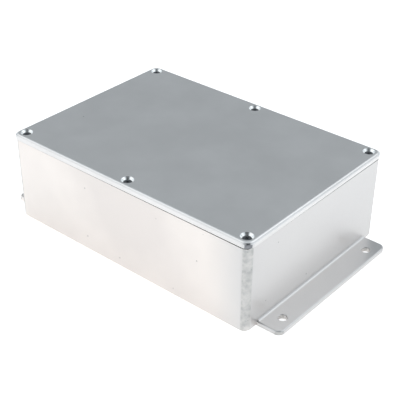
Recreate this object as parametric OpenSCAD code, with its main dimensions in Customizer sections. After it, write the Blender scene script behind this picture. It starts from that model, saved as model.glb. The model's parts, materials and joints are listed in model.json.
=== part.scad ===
// Flanged die cast box with a lid held by six countersunk screws.
// The origin is under the middle of the box, on the face it stands on; +Z is up and X runs
// along the box through both mounting flanges.

/* [Box] */
// Length of the lid, the longest side of the box itself
box_length = 171; // [130:1:240]
// Width of the lid
box_width = 121; // [90:1:180]
// Height from the face it stands on to the top of the lid
box_height = 55; // [35:1:105]
// Radius of the upright corners at the foot of the walls
corner_r = 4.4; // [3.6:0.1:7]
// Draft of the cast walls, so that the casting leaves its die
draft_angle = 0.4; // [0.3:0.1:1.5]
// Radius along the bottom edges of the casting
foot_edge_r = 1; // [0.6:0.1:2.4]
// Height of the seam that shows between the lid and the walls
seam_gap = 0.25; // [0.1:0.05:0.4]
// How far the seam reaches in from the outside of the walls
seam_depth = 0.8; // [0.4:0.1:1.2]

/* [Walls] */
// Thickness of the side walls
wall_t = 2.2; // [1.8:0.1:3]
// Thickness of the floor
floor_t = 2.4; // [1.8:0.1:4]
// Radius of the upright corners inside the box
inner_corner_r = 2.4; // [1.8:0.1:4]
// Radius between the floor and the walls inside the box
floor_edge_r = 1.5; // [0.5:0.1:1.7]

/* [Lid] */
// Height of the lid's edge, from the rim to its top face
lid_edge_h = 3.2; // [3:0.1:5]
// Height of the lower band round the lid's edge
lid_band_h = 2.6; // [1.5:0.1:2.8]
// Bevel along the top of the band
lid_band_bevel = 0.5; // [0.1:0.1:0.8]
// How far the crown above the band stands in from it
lid_crown_inset = 0.25; // [0.1:0.05:0.6]
// Radius along the top edge of the lid
lid_top_r = 1.7; // [0.5:0.1:2.4]
// Radius along the bottom edge of the band
lid_foot_r = 0.15; // [0.1:0.05:0.4]
// How far the lid stands out past the top of the walls
lid_overhang = 0.3; // [0.1:0.05:0.8]
// Thickness of the lid's plate over the hollow in its underside
lid_plate_t = 2; // [1.5:0.1:2.7]
// Depth of the lip that locates the lid inside the walls
lip_h = 2; // [1:0.1:3]
// Thickness of that lip
lip_t = 1.6; // [1:0.1:2.4]

/* [Mounting flanges] */
// How far each flange reaches past the end of the lid
flange_reach = 14.1; // [10:0.1:20]
// Distance from each side of the lid to the end of a flange
flange_inset = 10; // [6:0.5:20]
// Thickness of the flanges
flange_t = 2.6; // [2:0.1:4]
// Radius of the flanges' outer corners, seen from above
flange_corner_r = 4; // [2:0.5:6]
// Radius along the flanges' top edges
flange_edge_r = 0.8; // [0.3:0.1:1.2]
// Radius between the top of a flange and the end wall
flange_root_r = 1.5; // [0.5:0.1:3]
// Diameter of the mounting holes
mount_hole_d = 4.8; // [3:0.1:6]
// Distance from the outer edge of a flange to its hole centres
mount_hole_edge = 6.6; // [4.5:0.1:7]
// Distance from each end of a flange to its hole centre
mount_hole_end = 11; // [6:0.5:20]
// Bevel round the mouth of a mounting hole
mount_hole_bevel = 0.25; // [0.1:0.05:0.5]

/* [Lid screws] */
// Distance from the edges of the lid to the screw centres
screw_inset = 5.9; // [5:0.1:7]
// Thread diameter of the lid screws
screw_d = 3; // [2.5:0.1:3.5]
// Length of a screw, over its head
screw_length = 12; // [8:0.5:20]
// Diameter of the countersunk head
head_d = 5.2; // [4.8:0.1:6]
// Height of the head's straight edge above its cone
head_land = 0.2; // [0.1:0.05:0.4]
// Diameter of the countersink at the lid's top face
countersink_d = 7; // [6.4:0.1:8]
// Depth of the cross recess
recess_depth = 1.1; // [0.6:0.1:1.4]
// Width across the arms of the cross recess
recess_span = 3; // [2:0.1:3.4]
// Width of one arm of the cross recess
recess_arm = 0.8; // [0.5:0.1:1]
// Diameter of the pillars that take the screws
pillar_d = 8.4; // [7:0.1:10]

/* [Clearances] */
// Radial clearance of a screw in the lid
screw_clearance = 0.2; // [0.1:0.05:0.4]
// Radial clearance of a screw's thread in its pillar
thread_clearance = 0.05; // [0.02:0.01:0.1]
// Gap between a screw's head and its countersink
seat_clearance = 0.02; // [0.01:0.01:0.05]
// Gap between the lid's lip and the walls or pillars
lip_clearance = 0.4; // [0.2:0.05:0.8]
// Depth of a pillar's hole past the end of its screw
hole_runout = 2; // [1:0.5:4]

/* [Hidden] */
SCREWS = [
    "lid_screw_front_left", "lid_screw_front_middle", "lid_screw_front_right",
    "lid_screw_back_left", "lid_screw_back_middle", "lid_screw_back_right"
];
$fn = 64;

CAST_COLOUR = "#d3d4d6";
LID_COLOUR = "#a4a8aa";
SCREW_COLOUR = "#8d9093";

// A cut runs this far past the face it opens, and a joined piece this far into its carrier
through = 1;
upright = 90;
half_turn = 180;
drill_point_angle = 59;
corner_fn = 32;
edge_steps = 6;

// Walls: outline at the foot, and how much it has grown by the rim
rim_z = box_height - lid_edge_h;
wall_flare = rim_z * tan(draft_angle);
foot_half_x = box_length / 2 - lid_overhang - wall_flare;
foot_half_y = box_width / 2 - lid_overhang - wall_flare;

// Cavity: the walls' own draft, a wall's thickness further in
cavity_rise = floor_t * tan(draft_angle);
cavity_half_x = foot_half_x + cavity_rise - wall_t;
cavity_half_y = foot_half_y + cavity_rise - wall_t;
cavity_h = rim_z - floor_t;

// Lid: outlines of its band, its crown and the inside of the walls at the rim
band_corner_r = corner_r + wall_flare + lid_overhang;
crown_corner_r = band_corner_r - lid_crown_inset;
rim_half_x = box_length / 2 - lid_overhang - wall_t;
rim_half_y = box_width / 2 - lid_overhang - wall_t;
rim_corner_r = inner_corner_r + cavity_h * tan(draft_angle);
lip_half_x = rim_half_x - lip_clearance - lip_h * tan(draft_angle);
lip_half_y = rim_half_y - lip_clearance - lip_h * tan(draft_angle);
lip_corner_r = max(rim_corner_r - lip_clearance, lip_t + 0.5);
lip_edge_r = 0.4;
hollow_edge_r = 0.5;

// Screws: seats, holes and the pillars' places, left to right along each long side
screw_x = box_length / 2 - screw_inset;
screw_y = box_width / 2 - screw_inset;
screw_r = screw_d / 2;
head_r = head_d / 2;
head_sink = (countersink_d - head_d) / 2;
head_cone_h = head_r - screw_r;
thread_hole_r = screw_r + thread_clearance;
screw_hole_r = screw_r + screw_clearance;
screw_end_z = box_height - head_sink + head_land - screw_length;
thread_hole_z = screw_end_z - hole_runout;
tip_bevel = 0.4;
pillar_r = pillar_d / 2;
pillar_web = 0.9;

// Flanges
flange_half_x = box_length / 2 + flange_reach;
flange_half_y = box_width / 2 - flange_inset;
mount_hole_x = flange_half_x - mount_hole_edge;
mount_hole_y = flange_half_y - mount_hole_end;

// Half of a section from the middle of a block to its wall: a flat foot with a rounded edge,
// and a wall that leans out by the draft and may end in a bevel
function half_section(half, height, draft, edge_r, bevel) =
    let (
        tangent = edge_r * tan((upright - draft) / 2),
        top = half + height * tan(draft),
        turn = upright - draft
    )
    concat(
        [[0, 0]],
        [
            for (i = [0:edge_steps])
                [
                    half - tangent + edge_r * sin(turn * i / edge_steps),
                    edge_r - edge_r * cos(turn * i / edge_steps)
                ]
        ],
        [
            [top - bevel * tan(draft), height - bevel],
            [top - bevel, height],
            [0, height]
        ]
    );

// A drafted block with round corners, standing on its smaller, round-edged face. Its sizes
// are those of the sharp outline at its foot.
module cast_block(half_x, half_y, round_r, height, draft, edge_r, bevel = 0) {
    hull()
        for (x = [-1, 1], y = [-1, 1])
            translate([x * (half_x - round_r), y * (half_y - round_r), 0])
                rotate_extrude($fn = corner_fn)
                    polygon(half_section(round_r, height, draft, edge_r, bevel));
}

// The same block upside down, with its round-edged face at the given height
module cast_cap(half_x, half_y, round_r, top, height, draft, edge_r) {
    translate([0, 0, top])
        mirror([0, 0, 1])
            cast_block(half_x, half_y, round_r, height, draft, edge_r);
}

// The walls stop short of the lid outside, and a land inside them carries it
module outer_walls() {
    cast_block(foot_half_x, foot_half_y, corner_r, rim_z - seam_gap, draft_angle, foot_edge_r);
    translate([0, 0, floor_t])
        cast_block(
            cavity_half_x + wall_t - seam_depth, cavity_half_y + wall_t - seam_depth,
            corner_r - seam_depth, rim_z - floor_t, draft_angle, floor_edge_r
        );
}

module cavity() {
    translate([0, 0, floor_t])
        cast_block(
            cavity_half_x, cavity_half_y, inner_corner_r,
            cavity_h + through, draft_angle, floor_edge_r
        );
}

// Places at the six screws; x is -1, 0 or 1 along the box and y is -1 or 1 across it
module at_screws() {
    for ($x = [-1, 0, 1], $y = [-1, 1])
        translate([$x * screw_x, $y * screw_y, 0]) children();
}

// Plan of a pillar: round, with a web to each wall beside it
module pillar_plan(r) {
    web = pillar_web * r;
    circle(r);
    translate([-web, min(0, $y * screw_inset)]) square([2 * web, screw_inset]);
    if ($x != 0)
        translate([min(0, $x * screw_inset), -web]) square([screw_inset, 2 * web]);
}

module pillars() {
    intersection() {
        outer_walls();
        translate([0, 0, floor_t - through])
            at_screws() linear_extrude(rim_z) pillar_plan(pillar_r);
    }
}

// Threaded hole of a pillar, with the cone that its drill leaves
module thread_hole() {
    point_h = thread_hole_r / tan(drill_point_angle);
    translate([0, 0, thread_hole_z]) {
        cylinder(r = thread_hole_r, h = rim_z - thread_hole_z + through);
        translate([0, 0, -point_h])
            cylinder(r1 = 0, r2 = thread_hole_r, h = point_h);
    }
}

// Both mounting flanges are the ends of one plate that runs under the walls
module flange_plate() {
    cast_cap(flange_half_x, flange_half_y, flange_corner_r, flange_t, flange_t, 0, flange_edge_r);
}

// Round fillet between the top of a flange and the end wall above it
module flange_root() {
    wall_x = foot_half_x + flange_t * tan(draft_angle);
    centre_x = wall_x + flange_root_r * tan((upright - draft_angle) / 2);
    turn = upright - draft_angle;
    arc = [
        for (i = [0:edge_steps])
            [
                centre_x - flange_root_r * sin(turn * i / edge_steps),
                flange_t + flange_root_r - flange_root_r * cos(turn * i / edge_steps)
            ]
    ];
    rotate([upright, 0, 0])
        linear_extrude(2 * (flange_half_y - flange_edge_r), center = true)
            polygon(concat(
                arc,
                [
                    [wall_x - through, flange_t + flange_root_r],
                    [wall_x - through, flange_t - through],
                    [centre_x, flange_t - through]
                ]
            ));
}

module mount_hole() {
    r = mount_hole_d / 2;
    translate([0, 0, -through]) cylinder(r = r, h = flange_t + 2 * through);
    translate([0, 0, flange_t - mount_hole_bevel])
        cylinder(r1 = r, r2 = r + 2 * mount_hole_bevel, h = 2 * mount_hole_bevel);
}

module base() {
    color(CAST_COLOUR)
        difference() {
            union() {
                difference() {
                    union() {
                        outer_walls();
                        flange_plate();
                        flange_root();
                        rotate(half_turn) flange_root();
                    }
                    cavity();
                }
                pillars();
            }
            at_screws() thread_hole();
            for (x = [-1, 1], y = [-1, 1])
                translate([x * mount_hole_x, y * mount_hole_y, 0]) mount_hole();
        }
}

// Block under the lid whose edge becomes the lip, notched where the pillars stand
module lid_lip() {
    translate([0, 0, rim_z - lip_h])
        difference() {
            cast_block(
                lip_half_x, lip_half_y, lip_corner_r, lip_h + through, draft_angle, lip_edge_r
            );
            translate([0, 0, -through])
                at_screws() linear_extrude(lip_h + through) pillar_plan(pillar_r + lip_clearance);
        }
}

// Hollow in the lid's underside, with a solid pad left over each pillar
module lid_hollow() {
    hollow_h = lid_edge_h - lid_plate_t;
    difference() {
        cast_cap(
            lip_half_x - lip_t, lip_half_y - lip_t, lip_corner_r - lip_t,
            rim_z + hollow_h, hollow_h + lip_h + through, draft_angle, hollow_edge_r
        );
        translate([0, 0, rim_z])
            at_screws() linear_extrude(hollow_h + through) pillar_plan(pillar_r + lip_clearance);
    }
}

// Countersunk hole of the lid: the cone, then the clearance hole below it
module screw_seat() {
    cone_h = countersink_d / 2 - screw_hole_r;
    translate([0, 0, rim_z - lip_h])
        cylinder(r = screw_hole_r, h = lid_edge_h + lip_h);
    translate([0, 0, box_height - cone_h])
        cylinder(r1 = screw_hole_r, r2 = countersink_d / 2 + through, h = cone_h + through);
}

module lid() {
    color(LID_COLOUR)
        difference() {
            union() {
                translate([0, 0, rim_z])
                    cast_block(
                        box_length / 2, box_width / 2, band_corner_r,
                        lid_band_h, 0, lid_foot_r, lid_band_bevel
                    );
                cast_cap(
                    box_length / 2 - lid_crown_inset, box_width / 2 - lid_crown_inset, crown_corner_r,
                    box_height, lid_edge_h, 0, lid_top_r
                );
                lid_lip();
            }
            lid_hollow();
            at_screws() screw_seat();
        }
}

// Cross recess, tapering towards its floor
module cross_recess() {
    floor_r = recess_arm / 2;
    intersection() {
        cylinder(
            r1 = floor_r, r2 = recess_span / 2 + through * (recess_span / 2 - floor_r) / recess_depth,
            h = recess_depth + through
        );
        union() {
            for (turn = [0, upright])
                rotate(turn)
                    translate([-recess_span, -recess_arm / 2, 0])
                        cube([2 * recess_span, recess_arm, recess_depth + through]);
        }
    }
}

// One lid screw, standing on its tip; x and y say which of the six places it takes
module lid_screw(x, y) {
    straight = screw_length - head_land - head_cone_h - tip_bevel;
    color(SCREW_COLOUR)
        translate([x * screw_x, y * screw_y, screw_end_z + seat_clearance])
            difference() {
                union() {
                    cylinder(r1 = screw_r - tip_bevel, r2 = screw_r, h = tip_bevel);
                    translate([0, 0, tip_bevel]) cylinder(r = screw_r, h = straight);
                    translate([0, 0, tip_bevel + straight])
                        cylinder(r1 = screw_r, r2 = head_r, h = head_cone_h);
                    translate([0, 0, screw_length - head_land])
                        cylinder(r = head_r, h = head_land);
                }
                translate([0, 0, screw_length - recess_depth])
                    rotate(upright / 2 * x) cross_recess();
            }
}

base();
lid();
lid_screw(-1, -1);  // lid_screw_front_left
lid_screw(0, -1);  // lid_screw_front_middle
lid_screw(1, -1);  // lid_screw_front_right
lid_screw(-1, 1);  // lid_screw_back_left
lid_screw(0, 1);  // lid_screw_back_middle
lid_screw(1, 1);  // lid_screw_back_right
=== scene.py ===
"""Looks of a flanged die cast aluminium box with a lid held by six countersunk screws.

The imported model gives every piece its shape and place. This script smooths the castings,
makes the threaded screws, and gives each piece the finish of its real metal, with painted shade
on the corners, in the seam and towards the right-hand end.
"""

from __future__ import annotations

import json
import logging
import math
from dataclasses import dataclass, field, replace
from enum import Enum, IntEnum
from typing import Any, Sequence

import bmesh
import bpy
from mathutils import Matrix, Vector

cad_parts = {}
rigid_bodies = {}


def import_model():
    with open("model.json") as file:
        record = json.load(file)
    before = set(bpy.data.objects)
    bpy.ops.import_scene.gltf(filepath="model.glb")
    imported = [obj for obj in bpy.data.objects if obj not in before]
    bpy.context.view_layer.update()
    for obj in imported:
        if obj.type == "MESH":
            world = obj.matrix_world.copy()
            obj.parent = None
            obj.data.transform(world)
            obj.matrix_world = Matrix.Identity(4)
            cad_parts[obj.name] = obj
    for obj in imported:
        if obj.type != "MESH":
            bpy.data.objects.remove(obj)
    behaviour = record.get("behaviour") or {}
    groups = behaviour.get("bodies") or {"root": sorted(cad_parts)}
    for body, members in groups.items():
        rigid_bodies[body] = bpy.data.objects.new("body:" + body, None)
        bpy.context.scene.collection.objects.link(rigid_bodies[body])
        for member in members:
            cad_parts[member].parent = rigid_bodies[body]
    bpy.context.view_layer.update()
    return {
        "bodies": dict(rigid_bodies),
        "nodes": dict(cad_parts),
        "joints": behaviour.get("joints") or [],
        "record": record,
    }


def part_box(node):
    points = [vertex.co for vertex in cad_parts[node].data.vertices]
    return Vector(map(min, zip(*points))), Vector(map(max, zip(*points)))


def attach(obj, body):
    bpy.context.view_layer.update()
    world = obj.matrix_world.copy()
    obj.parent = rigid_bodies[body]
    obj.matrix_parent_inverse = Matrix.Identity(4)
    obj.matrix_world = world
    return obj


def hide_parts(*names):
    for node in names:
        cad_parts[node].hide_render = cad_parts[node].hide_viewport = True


LOG = logging.getLogger("die_cast_box")

MM = 0.001
BODY = "root"

# Blender's noise keeps close to its middle, so these spans bring out its whole range.
TONE_SPAN = (0.35, 0.65)
GRAIN_SPAN = (0.3, 0.7)
LID_SCREWS = tuple(
    f"lid_screw_{row}_{place}" for row in ("front", "back") for place in ("left", "middle", "right")
)


# --------------------------------------------------------------------------- small helpers


def linear(hex_colour: str) -> tuple[float, float, float, float]:
    """Turn an sRGB hex colour into the linear colour that shaders take.

    Args:
        hex_colour: The colour as "#rrggbb".

    Returns:
        Linear red, green and blue, and an alpha of 1.
    """
    parts = [int(hex_colour[i : i + 2], 16) / 255 for i in (1, 3, 5)]
    rgb = [c / 12.92 if c <= 0.04045 else ((c + 0.055) / 1.055) ** 2.4 for c in parts]
    return (rgb[0], rgb[1], rgb[2], 1.0)


def add_node(
    tree: bpy.types.NodeTree,
    kind: str,
    settings: dict[str, Any] | None = None,
    inputs: dict[str | int, Any] | None = None,
) -> bpy.types.Node:
    """Add one node with its settings, and its inputs set or linked.

    Args:
        tree: The shader or geometry tree that gets the node.
        kind: Blender's name of the node type.
        settings: Properties of the node itself.
        inputs: Values for sockets, by name or number; an output socket is linked instead.

    Returns:
        The new node.
    """
    node = tree.nodes.new(kind)
    for name, value in (settings or {}).items():
        setattr(node, name, value)
    for name, value in (inputs or {}).items():
        if isinstance(value, bpy.types.NodeSocket):
            tree.links.new(value, node.inputs[name])
        else:
            node.inputs[name].default_value = value
    return node


def heading(azimuth: float, elevation: float) -> Vector:
    """Turn a direction round the box, in degrees from the front, into a unit vector."""
    turn, lift = math.radians(azimuth), math.radians(elevation)
    level = math.cos(lift)
    return Vector((math.sin(turn) * level, -math.cos(turn) * level, math.sin(lift)))


def calc(tree: bpy.types.NodeTree, operation: str, *values: Any) -> bpy.types.NodeSocket:
    """Add one sum to a node tree and give its result."""
    node = add_node(tree, "ShaderNodeMath", {"operation": operation}, dict(enumerate(values)))
    return node.outputs["Value"]


def lifted(
    tree: bpy.types.NodeTree, geometry: bpy.types.NodeSocket, height: bpy.types.NodeSocket
) -> bpy.types.NodeSocket:
    """Move a geometry along Z.

    Args:
        tree: The geometry tree.
        geometry: What is moved.
        height: How far it goes.

    Returns:
        The moved geometry.
    """
    way = add_node(tree, "ShaderNodeCombineXYZ", inputs={"Z": height}).outputs["Vector"]
    return add_node(
        tree, "GeometryNodeTransform", inputs={"Geometry": geometry, "Translation": way}
    ).outputs["Geometry"]


def grains_per_metre(size_mm: float) -> float:
    """Give the noise scale whose blotches are about this many millimetres across."""
    return 1.0 / (size_mm * MM)


def spread_over(
    tree: bpy.types.NodeTree,
    value: bpy.types.NodeSocket,
    span: tuple[float, float],
    low: float = 0.0,
    high: float = 1.0,
    smooth: bool = False,
) -> bpy.types.NodeSocket:
    """Spread a span of values over another one.

    Args:
        tree: The tree that gets the node.
        value: The value to spread.
        span: Where it starts and ends.
        low: The result at the start.
        high: The result at the end.
        smooth: Whether the result eases in and out.

    Returns:
        The socket with the result.
    """
    return add_node(
        tree,
        "ShaderNodeMapRange",
        {"interpolation_type": "SMOOTHSTEP" if smooth else "LINEAR"},
        {
            "Value": value,
            "From Min": span[0],
            "From Max": span[1],
            "To Min": low,
            "To Max": high,
        },
    ).outputs["Result"]


def mixed(
    tree: bpy.types.NodeTree, share: Any, first: Any, second: Any, blend: str = "MIX"
) -> bpy.types.NodeSocket:
    """Mix two colours.

    Args:
        tree: The material's tree.
        share: How much of the second colour is mixed in.
        first: The first colour.
        second: The second colour.
        blend: How the second one is laid over the first.

    Returns:
        The socket with the mixed colour.
    """
    settings = {"data_type": "RGBA", "blend_type": blend}
    return add_node(tree, "ShaderNodeMix", settings, {0: share, 6: first, 7: second}).outputs[2]


def blank_material(name: str) -> bpy.types.Material:
    """Make a material whose node tree is still empty."""
    mat = bpy.data.materials.new(name)
    mat.use_nodes = True
    mat.node_tree.nodes.clear()
    return mat


def finish_surface(tree: bpy.types.NodeTree, surface: bpy.types.NodeSocket) -> None:
    """Make a shader the surface of its material."""
    add_node(tree, "ShaderNodeOutputMaterial", inputs={"Surface": surface})


def finish_metal(tree: bpy.types.NodeTree, **inputs: Any) -> None:
    """Make bare metal, with these colours, roughness and normals, the material's surface."""
    names = {"colour": "Base Color", "roughness": "Roughness", "normal": "Normal"}
    metal = {names[name]: value for name, value in inputs.items()} | {"Metallic": 1.0}
    shader = add_node(tree, "ShaderNodeBsdfPrincipled", inputs=metal)
    finish_surface(tree, shader.outputs["BSDF"])


# --------------------------------------------------------------------------------- finishes


@dataclass(frozen=True)
class CastMetal:
    """Bare die cast aluminium as it leaves the tumbling drum.

    The skin of a casting is a frozen film of metal: it is satin, slightly uneven in
    tone where the metal flowed, and carries a few pinholes. Tumbling rounds every edge
    and leaves a fine, directionless grain.
    """

    name: str
    bright: str
    dull: str
    roughness_low: float
    roughness_high: float
    mottle_mm: float
    mottle_seed: float
    grain_mm: float
    grain_depth_mm: float
    pit_spacing_mm: float
    pit_share: float
    pit_depth_mm: float
    pit_edge: tuple[float, float] = (0.06, 0.14)
    pit_tone: str = "#c4c4c4"
    # Painted shade: along X, towards the right-hand end, the colour is mixed towards this duller
    # tone.
    painted_end_shade: str = "#dedcdb"
    painted_end_shade_share: float = 0.0
    painted_end_shade_from_mm: float = 55.0
    painted_end_shade_to_mm: float = 86.0

    def material(self) -> bpy.types.Material:
        """Build the node material.

        Returns:
            The finished material.
        """
        mat = blank_material(self.name)
        tree = mat.node_tree
        place = add_node(tree, "ShaderNodeTexCoord").outputs["Object"]
        mottle = self._noise(tree, place, self.mottle_mm, 3.0, 0.55, self.mottle_seed)
        grain = self._noise(tree, place, self.grain_mm, 2.0, 0.5)
        pits = self._pits(tree, place)
        tone = spread_over(tree, mottle, TONE_SPAN)
        colour = mixed(tree, tone, linear(self.dull), linear(self.bright))
        # Painted shade: towards the right-hand end wall the colour turns duller.
        along = add_node(tree, "ShaderNodeSeparateXYZ", inputs={0: place}).outputs["X"]
        span = (self.painted_end_shade_from_mm * MM, self.painted_end_shade_to_mm * MM)
        end_shade_amount = spread_over(tree, along, span, high=self.painted_end_shade_share, smooth=True)
        end_shaded_colour = mixed(tree, end_shade_amount, colour, linear(self.painted_end_shade))
        bump = self._bump(tree, grain, self.grain_depth_mm)
        finish_metal(
            tree,
            colour=mixed(tree, pits, end_shaded_colour, linear(self.pit_tone), "MULTIPLY"),
            roughness=spread_over(
                tree, grain, GRAIN_SPAN, self.roughness_low, self.roughness_high
            ),
            normal=self._bump(tree, pits, self.pit_depth_mm, bump),
        )
        return mat

    @staticmethod
    def _bump(
        tree: bpy.types.NodeTree,
        height: bpy.types.NodeSocket,
        depth_mm: float,
        under: bpy.types.NodeSocket | None = None,
    ) -> bpy.types.NodeSocket:
        """Raise a pattern from the surface, or sink it into a surface that is bumped already.

        Args:
            tree: The material's tree.
            height: The pattern.
            depth_mm: How high or deep it goes.
            under: The bumped surface that the pattern is sunk into.

        Returns:
            The socket with the bumped normal.
        """
        inputs = {"Height": height, "Distance": depth_mm * MM, "Strength": 1.0}
        if under is not None:
            inputs["Normal"] = under
        return add_node(
            tree, "ShaderNodeBump", {"invert": under is not None}, inputs
        ).outputs["Normal"]

    @staticmethod
    def _noise(
        tree: bpy.types.NodeTree,
        place: bpy.types.NodeSocket,
        size_mm: float,
        detail: float,
        rough: float,
        seed: float = 0.0,
    ) -> bpy.types.NodeSocket:
        """Make blotches of one size.

        Args:
            tree: The material's tree.
            place: The coordinates that the pattern follows.
            size_mm: How far across a blotch is.
            detail: How many finer layers lie on it.
            rough: How strong the finer layers are.
            seed: Which of the endless patterns it takes.

        Returns:
            The socket with the pattern's value.
        """
        return add_node(
            tree,
            "ShaderNodeTexNoise",
            {"noise_dimensions": "4D"},
            {
                "Vector": place,
                "W": seed,
                "Scale": grains_per_metre(size_mm),
                "Detail": detail,
                "Roughness": rough,
            },
        ).outputs["Fac"]

    def _pits(
        self, tree: bpy.types.NodeTree, place: bpy.types.NodeSocket
    ) -> bpy.types.NodeSocket:
        """Scatter pinholes over some of the cells of a Voronoi pattern.

        Args:
            tree: The material's tree.
            place: The coordinates that the pattern follows.

        Returns:
            A socket that is 1 in a pinhole and 0 beside it.
        """
        cells = add_node(
            tree,
            "ShaderNodeTexVoronoi",
            inputs={
                "Vector": place,
                "Scale": grains_per_metre(self.pit_spacing_mm),
                "Randomness": 1.0,
            },
        )
        hole = spread_over(tree, cells.outputs["Distance"], self.pit_edge, 1.0, 0.0, smooth=True)
        chosen = calc(tree, "LESS_THAN", cells.outputs["Color"], self.pit_share)
        return calc(tree, "MULTIPLY", hole, chosen)


@dataclass(frozen=True)
class MachinedMetal:
    """Metal that a tool has turned, drilled or rolled to a clean, bright face.

    It is smoother than the cast skin round it, and fine rings run round its axis.
    """

    name: str
    colour: str
    roughness_low: float
    roughness_high: float
    ring_mm: float
    ring_shape: tuple[float, float, float] = (0.15, 0.15, 1.0)

    def material(self) -> bpy.types.Material:
        """Build the node material.

        Returns:
            The finished material.
        """
        mat = blank_material(self.name)
        tree = mat.node_tree
        place = add_node(tree, "ShaderNodeTexCoord").outputs["Object"]
        squeezed = add_node(
            tree, "ShaderNodeMapping", inputs={"Vector": place, "Scale": self.ring_shape}
        ).outputs["Vector"]
        rings = add_node(
            tree,
            "ShaderNodeTexNoise",
            inputs={
                "Vector": squeezed,
                "Scale": grains_per_metre(self.ring_mm),
                "Detail": 2.0,
            },
        ).outputs["Fac"]
        rough = spread_over(tree, rings, GRAIN_SPAN, self.roughness_low, self.roughness_high)
        finish_metal(tree, colour=linear(self.colour), roughness=rough)
        return mat


@dataclass(frozen=True)
class SeamMetal:
    """The trimmed edge inside the seam, painted dark as painted shade that deepens towards one end.
    """

    name: str
    clean: str
    shaded: str
    roughness: float
    axis: str
    clean_mm: float
    shaded_mm: float
    blotch_mm: float = 14.0

    def material(self) -> bpy.types.Material:
        """Build the node material.

        Returns:
            The finished material.
        """
        mat = blank_material(self.name)
        tree = mat.node_tree
        place = add_node(tree, "ShaderNodeTexCoord").outputs["Object"]
        along = add_node(tree, "ShaderNodeSeparateXYZ", inputs={0: place}).outputs[self.axis]
        blotch = add_node(
            tree,
            "ShaderNodeTexNoise",
            inputs={"Vector": place, "Scale": grains_per_metre(self.blotch_mm)},
        ).outputs["Fac"]
        # Painted shade: the seam colour darkens along the axis, with a wandering edge.
        wander = calc(tree, "MULTIPLY_ADD", blotch, self.blotch_mm * MM, along)
        shade_amount = spread_over(tree, wander, (self.clean_mm * MM, self.shaded_mm * MM))
        colour = mixed(tree, shade_amount, linear(self.clean), linear(self.shaded))
        finish_metal(tree, colour=colour, roughness=self.roughness)
        return mat


# The walls are satin, faintly warm, and clouded where the metal flowed. Towards the right-hand end
# their colour is painted duller, as painted shade on that end; this painted shade stands for no
# known process.
BASE_CASTING = CastMetal(
    name="die_cast_aluminium_walls",
    bright="#faf2ec",
    dull="#ede5e0",
    roughness_low=0.32,
    roughness_high=0.42,
    mottle_mm=70.0,
    mottle_seed=232.9,
    grain_mm=0.9,
    grain_depth_mm=0.02,
    pit_spacing_mm=4.0,
    pit_share=0.1,
    pit_depth_mm=0.02,
    painted_end_shade_share=0.8,
)

# The lid is the smoothest casting: more neutral, evenly clouded and nearly without pinholes.
LID_CASTING = CastMetal(
    name="die_cast_aluminium_lid",
    bright="#f3f0ee",
    dull="#ece9e7",
    roughness_low=0.3,
    roughness_high=0.38,
    mottle_mm=30.0,
    mottle_seed=0.0,
    grain_mm=0.8,
    grain_depth_mm=0.012,
    pit_spacing_mm=5.0,
    pit_share=0.05,
    pit_depth_mm=0.015,
)

# The lid's upright corners are painted a darker grey, as painted shade on those corners.
LID_CORNER_SHADE = replace(
    LID_CASTING,
    name="lid_corner_painted_shade",
    bright="#a2a2a4",
    dull="#86868a",
    mottle_mm=1.6,
)

# The walls' upright corners keep the die's drag marks, so they are rougher with more pinholes;
# their colour and pinholes are also painted darker, as painted shade.
BASE_CORNER_SHADE = replace(
    BASE_CASTING,
    name="die_cast_corner_painted_shade",
    bright="#ece8e4",
    dull="#d2d0cd",
    roughness_low=0.46,
    roughness_high=0.6,
    mottle_mm=3.0,
    painted_end_shade_share=0.0,
    pit_spacing_mm=1.6,
    pit_share=0.35,
    pit_tone="#a8a8a8",
)

# The countersinks are cut after casting, so their cones are bright against the cast skin.
CUT_ALUMINIUM = MachinedMetal(
    name="countersunk_aluminium",
    colour="#f6f6f5",
    roughness_low=0.16,
    roughness_high=0.26,
    ring_mm=0.3,
)

# Inside the seam the trimmed edge is rough, and its colour is painted dark as painted shade,
# heavier towards one end.
LONG_SEAM = SeamMetal(
    name="shaded_long_seam",
    clean="#dcdad8",
    shaded="#1c1b1a",
    roughness=0.8,
    axis="X",
    clean_mm=-25.0,
    shaded_mm=60.0,
)
SHORT_SEAM = replace(LONG_SEAM, name="shaded_short_seam", axis="Y", clean_mm=-55.0, shaded_mm=60.0)

# Zinc plated steel with a dark passivate: smooth, and far darker than the aluminium.
SCREW_STEEL = MachinedMetal(
    name="passivated_zinc_plated_steel",
    colour="#6d6e70",
    roughness_low=0.28,
    roughness_high=0.4,
    ring_mm=0.25,
)


# ----------------------------------------------------------------------------------- pieces


class Slot(Enum):
    """The record's material slots."""

    BASE = "cast_base"
    LID = "cast_lid"
    SCREW = "screw_steel"


class Skin(IntEnum):
    """The order of a casting's materials."""

    CAST = 0
    CORNER = 1
    LONG_SEAM = 2
    SHORT_SEAM = 3
    CUT = 4


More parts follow.
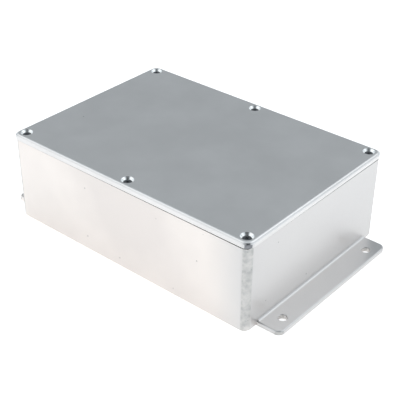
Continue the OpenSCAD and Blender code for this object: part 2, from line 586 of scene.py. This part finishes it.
@dataclass
class Casting:
    """A cast piece, drawn from its CAD node with smooth walls and crisp edges.

    The rim under the seam is filed down by up to trim_mm: it tapers in along the box, and on
    the end wall it tapers in from the near corner.
    """

    node: str
    name: str
    slot: Slot
    finish: CastMetal
    corner_shade_finish: CastMetal
    rim: float
    seam_finishes: tuple[SeamMetal, SeamMetal] = (LONG_SEAM, SHORT_SEAM)
    seam_mm: float = 0.7
    ledge_mm: float = 0.25
    trim_mm: float = 0.0
    taper_mm: float = 30.0
    near_mm: float = 52.0
    front_mm: float = 84.0
    end_mm: float = 25.0
    corner_tilt: float = 0.15
    corner_rise: float = 0.5
    sharp_deg: float = 32.0
    merge_mm: float = 0.001

    def build(self, frame: dict[str, Any]) -> bpy.types.Object:
        """Make the piece and let it stand for its node.


        Returns:
            The finished object.
        """
        source = frame["nodes"][self.node]
        mesh = source.data.copy()
        mesh.name = self.name
        mesh.materials.clear()
        piece = bpy.data.objects.new(self.name, mesh)
        bpy.context.scene.collection.objects.link(piece)
        self._smooth(mesh)
        self.dress(piece)
        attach(piece, BODY)
        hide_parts(self.node)
        return piece

    def _smooth(self, mesh: bpy.types.Mesh) -> None:
        """Join the loose triangles and round the shading inside every soft edge.

        Args:
            mesh: The copied mesh, which is changed in place.
        """
        if "custom_normal" in mesh.attributes:
            mesh.attributes.remove(mesh.attributes["custom_normal"])
        work = bmesh.new()
        work.from_mesh(mesh)
        bmesh.ops.remove_doubles(work, verts=work.verts, dist=self.merge_mm * MM)
        ledge, slack = self.rim - self.ledge_mm * MM, self.ledge_mm * MM / 2
        for vert in work.verts:
            if abs(vert.co.z - ledge) < slack:
                vert.co.z -= self._trimmed(vert.co) * MM
        limit = math.radians(self.sharp_deg)
        for edge in work.edges:
            edge.smooth = len(edge.link_faces) == 2 and edge.calc_face_angle(0.0) < limit
        for face in work.faces:
            face.smooth = True
        work.to_mesh(mesh)
        work.free()

    def _trimmed(self, place: Vector) -> float:
        """Work out how far the wall's rim is filed down at one place.

        Args:
            place: The place on the rim.

        Returns:
            The depth in mm: none on the left half, nor on the end wall by the near corner.
        """
        along = place.y + self.near_mm * MM if place.x > self.front_mm * MM else place.x
        return self.trim_mm * min(1.0, max(0.0, along / (self.taper_mm * MM)))

    def dress(self, piece: bpy.types.Object) -> None:
        """Give the piece its finishes and even out its shading.

        Args:
            piece: The object made from the node.
        """
        for finish in (self.finish, self.corner_shade_finish, *self.seam_finishes):
            piece.data.materials.append(finish.material())
        end = max(v.co.x for v in piece.data.vertices) - self.end_mm * MM
        for face in piece.data.polygons:
            # Painted shade: faces inside the seam get the dark seam materials.
            if self._in_seam(face):
                along = abs(face.center.x) < end
                face.material_index = Skin.LONG_SEAM if along else Skin.SHORT_SEAM
            elif self._on_corner(face):
                # Painted shade: faces on the upright corners get the darker corner material.
                face.material_index = Skin.CORNER
        even = piece.modifiers.new("even_shading", "WEIGHTED_NORMAL")
        even.keep_sharp = True
        even.weight = 100

    def _in_seam(self, face: bpy.types.MeshPolygon) -> bool:
        """Say whether a face lies inside the seam between walls and lid."""
        return abs(face.center.z - self.rim) < self.seam_mm * MM

    def _on_corner(self, face: bpy.types.MeshPolygon) -> bool:
        """Say whether a face belongs to an upright corner."""
        way = face.normal
        turned = min(abs(way.x), abs(way.y)) > self.corner_tilt
        return turned and abs(way.z) < self.corner_rise


@dataclass
class Lid(Casting):
    """The lid, whose countersinks are cut into the cast skin."""

    cut_finish: MachinedMetal = CUT_ALUMINIUM
    seats: Sequence[Vector] = field(default_factory=list)
    seat_r_mm: float = 3.6

    def dress(self, piece: bpy.types.Object) -> None:
        """Give the lid its cast skin and the cones of its countersinks a cut one.

        Args:
            piece: The object made from the node.
        """
        super().dress(piece)
        piece.data.materials.append(self.cut_finish.material())
        top = max(v.co.z for v in piece.data.vertices)
        for face in piece.data.polygons:
            if self._is_cut(face.center, face.normal, top):
                face.material_index = Skin.CUT

    def _in_seam(self, face: bpy.types.MeshPolygon) -> bool:
        """Say whether a face is part of the downward strip over the seam."""
        return face.normal.z < -0.9 and super()._in_seam(face)

    def _is_cut(self, centre: Vector, normal: Vector, top: float) -> bool:
        """Say whether a face belongs to a countersink or the hole below it.

        Args:
            centre: The face's middle.
            normal: The face's outward direction.
            top: The height of the lid's top face.

        Returns:
            True where a drill has cut the face.
        """
        if normal.z > 0.99 or centre.z > top - 0.01 * MM:
            return False
        reach = self.seat_r_mm * MM
        return any((centre.xy - seat.xy).length < reach for seat in self.seats)


@dataclass
class LidScrews:
    """The countersunk machine screws that hold the lid, with cut threads and a cross recess.

    One node tree builds a screw, sets a copy on every place and turns each by chance.
    """

    places: Sequence[Vector]
    length: float
    sink_mm: float = 0.45
    name: str = "lid_screws"
    finish: MachinedMetal = SCREW_STEEL
    thread_r_mm: float = 1.5
    root_r_mm: float = 1.2
    pitch_mm: float = 0.5
    head_r_mm: float = 2.2
    land_mm: float = 0.2
    recess_r_mm: float = 1.5
    recess_arm_mm: float = 0.8
    recess_depth_mm: float = 1.1
    recess_taper: float = 0.35
    round_steps: int = 40
    rings_per_turn: int = 6
    seed: int = 4
    sharp_deg: float = 35.0

    def build(self) -> bpy.types.Object:
        """Make the six screws as one plain mesh that stands for their nodes.

        Returns:
            The finished object.
        """
        holder = self._points()
        modifier = holder.modifiers.new("screws", "NODES")
        modifier.node_group = self._tree()
        sizes = {
            "Thread Radius": self.thread_r_mm * MM,
            "Root Radius": self.root_r_mm * MM,
            "Pitch": self.pitch_mm * MM,
            "Head Radius": self.head_r_mm * MM,
            "Land": self.land_mm * MM,
            "Length": self.length,
            "Seed": self.seed,
        }
        for item in modifier.node_group.interface.items_tree:
            if item.name in sizes:
                modifier[item.identifier] = sizes[item.name]
        view = bpy.context.evaluated_depsgraph_get()
        mesh = bpy.data.meshes.new_from_object(
            holder.evaluated_get(view), preserve_all_data_layers=True, depsgraph=view
        )
        bpy.data.objects.remove(holder)
        mesh.name = self.name
        mesh.polygons.foreach_set("use_smooth", [True] * len(mesh.polygons))
        mesh.set_sharp_from_angle(angle=math.radians(self.sharp_deg))
        screws = bpy.data.objects.new(self.name, mesh)
        bpy.context.scene.collection.objects.link(screws)
        return self.dress(screws)

    def dress(self, screws: bpy.types.Object) -> bpy.types.Object:
        """Let the screws ride on the box and stand for their nodes.

        Args:
            screws: The finished mesh.

        Returns:
            The same object.
        """
        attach(screws, BODY)
        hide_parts(*LID_SCREWS)
        return screws

    def _points(self) -> bpy.types.Object:
        """Make a mesh with one vertex at the top of every screw."""
        mesh = bpy.data.meshes.new("screw_places")
        sink = Vector((0.0, 0.0, self.sink_mm * MM))
        mesh.from_pydata([tuple(place - sink) for place in self.places], [], [])
        holder = bpy.data.objects.new("screw_places", mesh)
        bpy.context.scene.collection.objects.link(holder)
        return holder

    def _tree(self) -> bpy.types.NodeTree:
        """Build the node tree that makes and places the screws.

        Returns:
            The tree, with the screw's sizes as inputs.
        """
        tree = bpy.data.node_groups.new("countersunk_screws", "GeometryNodeTree")
        tree.interface.new_socket("Geometry", in_out="INPUT", socket_type="NodeSocketGeometry")
        for name in ("Thread Radius", "Root Radius", "Pitch", "Head Radius", "Land", "Length"):
            tree.interface.new_socket(name, in_out="INPUT", socket_type="NodeSocketFloat")
        tree.interface.new_socket("Seed", in_out="INPUT", socket_type="NodeSocketInt")
        tree.interface.new_socket("Geometry", in_out="OUTPUT", socket_type="NodeSocketGeometry")
        given = add_node(tree, "NodeGroupInput").outputs
        whole = add_node(tree, "GeometryNodeJoinGeometry")
        for part in (self._head(tree, given), self._shank(tree, given)):
            tree.links.new(part, whole.inputs["Geometry"])
        turn = add_node(
            tree,
            "FunctionNodeRandomValue",
            {"data_type": "FLOAT_VECTOR"},
            {0: (0.0, 0.0, 0.0), 1: (0.0, 0.0, math.tau), "Seed": given["Seed"]},
        ).outputs[0]
        placed = add_node(
            tree,
            "GeometryNodeInstanceOnPoints",
            inputs={
                "Points": given["Geometry"],
                "Instance": whole.outputs["Geometry"],
                "Rotation": turn,
            },
        ).outputs["Instances"]
        real = add_node(
            tree, "GeometryNodeRealizeInstances", inputs={"Geometry": placed}
        ).outputs["Geometry"]
        dressed = add_node(
            tree,
            "GeometryNodeSetMaterial",
            inputs={"Geometry": real, "Material": self.finish.material()},
        ).outputs["Geometry"]
        add_node(tree, "NodeGroupOutput", inputs={"Geometry": dressed})
        return tree

    def _head(self, tree: bpy.types.NodeTree, given: Any) -> bpy.types.NodeSocket:
        """Make the countersunk head, its top at height zero, and cut its cross recess.

        Args:
            tree: The screws' tree.
            given: The tree's inputs.

        Returns:
            The head's geometry.
        """
        cone_h = calc(tree, "SUBTRACT", given["Head Radius"], given["Thread Radius"])
        cone = add_node(
            tree,
            "GeometryNodeMeshCone",
            inputs={
                "Vertices": self.round_steps,
                "Radius Top": given["Head Radius"],
                "Radius Bottom": given["Thread Radius"],
                "Depth": cone_h,
            },
        ).outputs["Mesh"]
        foot = calc(tree, "MULTIPLY", calc(tree, "ADD", cone_h, given["Land"]), -1.0)
        land = add_node(
            tree,
            "GeometryNodeMeshCylinder",
            inputs={
                "Vertices": self.round_steps,
                "Radius": given["Head Radius"],
                "Depth": given["Land"],
            },
        ).outputs["Mesh"]
        solid = add_node(
            tree,
            "GeometryNodeMeshBoolean",
            {"operation": "UNION", "solver": "EXACT"},
        )
        for part, height in ((cone, foot), (land, calc(tree, "MULTIPLY", given["Land"], -0.5))):
            tree.links.new(lifted(tree, part, height), solid.inputs["Mesh 2"])
        cut = add_node(
            tree,
            "GeometryNodeMeshBoolean",
            {"operation": "DIFFERENCE", "solver": "EXACT"},
            {"Mesh 1": solid.outputs["Mesh"], "Mesh 2": self._recess(tree)},
        )
        return cut.outputs["Mesh"]

    def _recess(self, tree: bpy.types.NodeTree) -> bpy.types.NodeSocket:
        """Make the tool that cuts the cross recess, narrower towards its tip.

        Args:
            tree: The screws' tree.

        Returns:
            The tool's geometry.
        """
        span, arm = 2 * self.recess_r_mm * MM, self.recess_arm_mm * MM
        depth = 2 * self.recess_depth_mm * MM
        cross = add_node(
            tree, "GeometryNodeMeshBoolean", {"operation": "UNION", "solver": "EXACT"}
        )
        for size in ((span, arm, depth), (arm, span, depth)):
            block = add_node(tree, "GeometryNodeMeshCube", inputs={"Size": size}).outputs["Mesh"]
            tree.links.new(block, cross.inputs["Mesh 2"])
        place = add_node(tree, "GeometryNodeInputPosition").outputs["Position"]
        height = add_node(tree, "ShaderNodeSeparateXYZ", inputs={0: place}).outputs["Z"]
        width = spread_over(tree, height, (-depth / 2, 0.0), self.recess_taper)
        shape = add_node(tree, "ShaderNodeCombineXYZ", inputs={0: width, 1: width, 2: 1.0})
        narrowed = add_node(
            tree,
            "ShaderNodeVectorMath",
            {"operation": "MULTIPLY"},
            {0: place, 1: shape.outputs["Vector"]},
        ).outputs["Vector"]
        return add_node(
            tree,
            "GeometryNodeSetPosition",
            inputs={"Geometry": cross.outputs["Mesh"], "Position": narrowed},
        ).outputs["Geometry"]

    def _shank(self, tree: bpy.types.NodeTree, given: Any) -> bpy.types.NodeSocket:
        """Make the shank and cut its thread by drawing a helix of its skin inwards.

        Args:
            tree: The screws' tree.
            given: The tree's inputs.

        Returns:
            The shank's geometry.
        """
        rings = calc(tree, "DIVIDE", given["Length"], given["Pitch"])
        shank = add_node(
            tree,
            "GeometryNodeMeshCylinder",
            inputs={
                "Vertices": self.round_steps // 2,
                "Side Segments": calc(tree, "MULTIPLY", rings, float(self.rings_per_turn)),
                "Radius": given["Thread Radius"],
                "Depth": calc(tree, "SUBTRACT", given["Length"], given["Thread Radius"]),
            },
        ).outputs["Mesh"]
        place = add_node(tree, "GeometryNodeInputPosition").outputs["Position"]
        axes = add_node(tree, "ShaderNodeSeparateXYZ", inputs={0: place}).outputs
        angle = calc(tree, "ARCTAN2", axes["Y"], axes["X"])
        climb = calc(tree, "DIVIDE", axes["Z"], given["Pitch"])
        phase = calc(tree, "SUBTRACT", climb, calc(tree, "DIVIDE", angle, math.tau))
        crest = calc(tree, "MULTIPLY", calc(tree, "PINGPONG", phase, 0.5), 2.0)
        root = calc(tree, "DIVIDE", given["Root Radius"], given["Thread Radius"])
        width = add_node(
            tree,
            "ShaderNodeMapRange",
            inputs={"Value": crest, "To Min": root, "To Max": 1.0},
        ).outputs["Result"]
        shape = add_node(tree, "ShaderNodeCombineXYZ", inputs={0: width, 1: width, 2: 1.0})
        cut = add_node(
            tree,
            "ShaderNodeVectorMath",
            {"operation": "MULTIPLY"},
            {0: place, 1: shape.outputs["Vector"]},
        ).outputs["Vector"]
        threaded = add_node(
            tree, "GeometryNodeSetPosition", inputs={"Geometry": shank, "Position": cut}
        ).outputs["Geometry"]
        middle = calc(tree, "ADD", given["Length"], given["Thread Radius"])
        return lifted(tree, threaded, calc(tree, "MULTIPLY", middle, -0.5))


# ----------------------------------------------------------------------------------- studio


@dataclass(frozen=True)
class Gap:
    """A dim gap between the lights of the room: its level, way and radii, in degrees."""

    level: float
    azimuth: float
    elevation: float
    core: float
    edge: float

    def shade(
        self, tree: bpy.types.NodeTree, way: bpy.types.NodeSocket
    ) -> bpy.types.NodeSocket:
        """Work out how far the gap dims each direction.

        Args:
            tree: The world's tree.
            way: The direction looked in.

        Returns:
            1 away from the gap and its level at its core.
        """
        facing = add_node(
            tree,
            "ShaderNodeVectorMath",
            {"operation": "DOT_PRODUCT"},
            {0: way, 1: heading(self.azimuth, self.elevation)},
        ).outputs["Value"]
        span = (math.cos(math.radians(self.edge)), math.cos(math.radians(self.core)))
        return spread_over(tree, facing, span, 1.0, self.level, smooth=True)


@dataclass(frozen=True)
class Lamp:
    """One broad lamp, far enough away to light everything evenly; angles are in degrees."""

    name: str
    azimuth: float
    elevation: float
    power: float
    spread: float
    colour: str

    def hang(self) -> None:
        """Hang the lamp and turn it to the box."""
        data = bpy.data.lights.new(self.name, "SUN")
        data.energy = self.power
        data.color = linear(self.colour)[:3]
        data.angle = math.radians(self.spread)
        lamp = bpy.data.objects.new(self.name, data)
        back = heading(self.azimuth, self.elevation)
        lamp.rotation_mode = "QUATERNION"
        lamp.rotation_quaternion = (-back).to_track_quat("-Z", "Y")
        lamp.location = back
        bpy.context.scene.collection.objects.link(lamp)


@dataclass
class Studio:
    """Pale floor, soft lamps and a pale room round the box.

    The floor is white to the camera and a little greyer in mirror rays, so that the bare
    walls keep their tone, and it still takes the box's shadow.
    """

    floor_m: float = 60.0
    floor_colour: str = "#f4f4f4"
    floor_white: float = 0.8
    floor_glow: float = 0.52
    room_level: float = 0.93
    room_colour: str = "#eef8ff"
    gaps: tuple[Gap, ...] = (
        Gap(level=0.12, azimuth=40.0, elevation=42.0, core=18.0, edge=45.0),
        Gap(level=0.47, azimuth=220.0, elevation=30.0, core=20.0, edge=45.0),
        Gap(level=0.72, azimuth=138.0, elevation=22.0, core=8.0, edge=34.0),
        Gap(level=0.86, azimuth=-42.0, elevation=26.0, core=8.0, edge=34.0),
    )
    card_glow: float = 0.29
    card_reach_mm: float = 500.0
    card_azimuths_deg: tuple[float, ...] = (-36.0, 0.0, 40.0, 80.0, 133.0)
    lamps: tuple[Lamp, ...] = (
        Lamp("key_lamp_left", -55.0, 40.0, power=0.2, spread=50.0, colour="#fff8f2"),
        Lamp("key_lamp_right", 145.0, 45.0, power=0.2, spread=40.0, colour="#fbfdff"),
    )

    def build(self, corner: Vector) -> None:
        """Make the floor, the room's light and the lamps.

        Args:
            corner: The foot of the box's near corner.
        """
        self._floor()
        self._grey_card(corner)
        self._room()
        for lamp in self.lamps:
            lamp.hang()

    def _floor(self) -> None:
        """Lay the floor at the height on which the box stands."""
        mesh = bpy.data.meshes.new("floor")
        half = self.floor_m / 2
        corners = [(-half, -half, 0), (half, -half, 0), (half, half, 0), (-half, half, 0)]
        mesh.from_pydata(corners, [], [(0, 1, 2, 3)])
        floor = bpy.data.objects.new("floor", mesh)
        floor.location.z = -0.05 * MM
        bpy.context.scene.collection.objects.link(floor)
        mat = blank_material("white_paper_sweep")
        tree = mat.node_tree
        ray = add_node(tree, "ShaderNodeLightPath").outputs
        mirrored = calc(tree, "MAXIMUM", ray["Is Glossy Ray"], ray["Is Transmission Ray"])
        reflected = calc(tree, "MULTIPLY", mirrored, self.floor_glow)
        strength = calc(tree, "MULTIPLY_ADD", ray["Is Camera Ray"], self.floor_white, reflected)
        finish_surface(tree, self._paper(tree, strength))
        mesh.materials.append(mat)

    def _grey_card(self, corner: Vector) -> None:
        """Lay a grey card before the near corner, which only mirror rays see.

        Args:
            corner: The foot of the box's near corner.
        """
        mesh = bpy.data.meshes.new("grey_card")
        ring = []
        for azimuth in self.card_azimuths_deg:
            ring.append(corner.xy + heading(azimuth, 0.0).xy * self.card_reach_mm * MM)
        points = [corner.xy, *ring]
        mesh.from_pydata([(p.x, p.y, 0.0) for p in points], [], [tuple(range(len(points)))])
        card = bpy.data.objects.new("grey_card", mesh)
        bpy.context.scene.collection.objects.link(card)
        mat = blank_material("grey_paper")
        tree = mat.node_tree
        ray = add_node(tree, "ShaderNodeLightPath").outputs
        both = add_node(
            tree,
            "ShaderNodeMixShader",
            inputs={
                0: ray["Is Glossy Ray"],
                1: add_node(tree, "ShaderNodeBsdfTransparent").outputs["BSDF"],
                2: self._paper(tree, self.card_glow),
            },
        )
        finish_surface(tree, both.outputs["Shader"])
        mesh.materials.append(mat)

    def _paper(self, tree: bpy.types.NodeTree, glow: Any) -> bpy.types.NodeSocket:
        """Make paper that is lit as any surface is, and glows besides.

        Args:
            tree: The material's tree.
            glow: The strength of its own light, as a number or a socket.

        Returns:
            The socket with the shader.
        """
        paper = add_node(
            tree, "ShaderNodeBsdfDiffuse", inputs={"Color": linear(self.floor_colour)}
        ).outputs["BSDF"]
        light = add_node(tree, "ShaderNodeEmission", inputs={"Strength": glow})
        both = add_node(
            tree, "ShaderNodeAddShader", inputs={0: paper, 1: light.outputs["Emission"]}
        )
        return both.outputs["Shader"]

    def _room(self) -> None:
        """Light the room: pale all round, and dimmer in the gaps between its lights."""
        world = bpy.data.worlds.new("studio_room")
        bpy.context.scene.world = world
        world.use_nodes = True
        tree = world.node_tree
        tree.nodes.clear()
        way = add_node(tree, "ShaderNodeTexCoord").outputs["Generated"]
        level: bpy.types.NodeSocket | float = self.room_level
        for gap in self.gaps:
            level = calc(tree, "MULTIPLY", gap.shade(tree, way), level)
        light = add_node(
            tree,
            "ShaderNodeBackground",
            inputs={"Color": linear(self.room_colour), "Strength": level},
        )
        add_node(
            tree,
            "ShaderNodeOutputWorld",
            inputs={"Surface": light.outputs["Background"]},
        )


@dataclass
class Viewpoint:
    """The camera, above the box's front right corner."""

    aim_mm: tuple[float, float, float] = (11.1, -8.7, 25.0)
    azimuth_deg: float = 40.18
    elevation_deg: float = 32.4
    distance_mm: float = 547.3
    roll_deg: float = 0.41
    lens_mm: float = 87.07

    def build(self) -> bpy.types.Object:
        """Make the camera and let the scene use it.

        Returns:
            The camera.
        """
        data = bpy.data.cameras.new("camera")
        data.lens = self.lens_mm
        data.sensor_width = 36.0
        data.clip_start, data.clip_end = 0.02, 200.0
        camera = bpy.data.objects.new("camera", data)
        back = heading(self.azimuth_deg, self.elevation_deg)
        camera.location = Vector(self.aim_mm) * MM + back * self.distance_mm * MM
        level = (-back).to_track_quat("-Z", "Y").to_matrix()
        roll = Matrix.Rotation(math.radians(self.roll_deg), 3, "Z")
        camera.rotation_euler = (level @ roll).to_euler()
        bpy.context.scene.collection.objects.link(camera)
        bpy.context.scene.camera = camera
        return camera


# ------------------------------------------------------------------------------------- main


def screw_places() -> list[Vector]:
    """Give the middle of every lid screw's top."""
    places = []
    for node in LID_SCREWS:
        low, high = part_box(node)
        places.append(Vector(((low.x + high.x) / 2, (low.y + high.y) / 2, high.z)))
    return places


def main() -> None:
    """Build every piece of the box, the studio and the camera."""
    logging.basicConfig(level=logging.INFO, format="%(name)s: %(message)s")
    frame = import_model()
    scene = bpy.context.scene
    scene.view_settings.view_transform = "Standard"

    Viewpoint().build()
    low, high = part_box("lid")
    Studio().build(Vector((high.x, low.y, 0.0)))

    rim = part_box("base")[1].z
    places = screw_places()
    low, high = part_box(LID_SCREWS[0])
    pieces = [
        Casting(
            "base",
            "cast_box_with_flanges",
            Slot.BASE,
            BASE_CASTING,
            BASE_CORNER_SHADE,
            rim,
            trim_mm=0.42,
        ).build(frame),
        Lid(
            "lid",
            "cast_lid",
            Slot.LID,
            LID_CASTING,
            LID_CORNER_SHADE,
            rim,
            corner_tilt=0.4,
            corner_rise=0.8,
            seats=places,
        ).build(frame),
        LidScrews(places, high.z - low.z).build(),
    ]
    for piece in pieces:
        LOG.info("%s: %d faces", piece.name, len(piece.data.polygons))


if __name__ == "__main__":
    main()
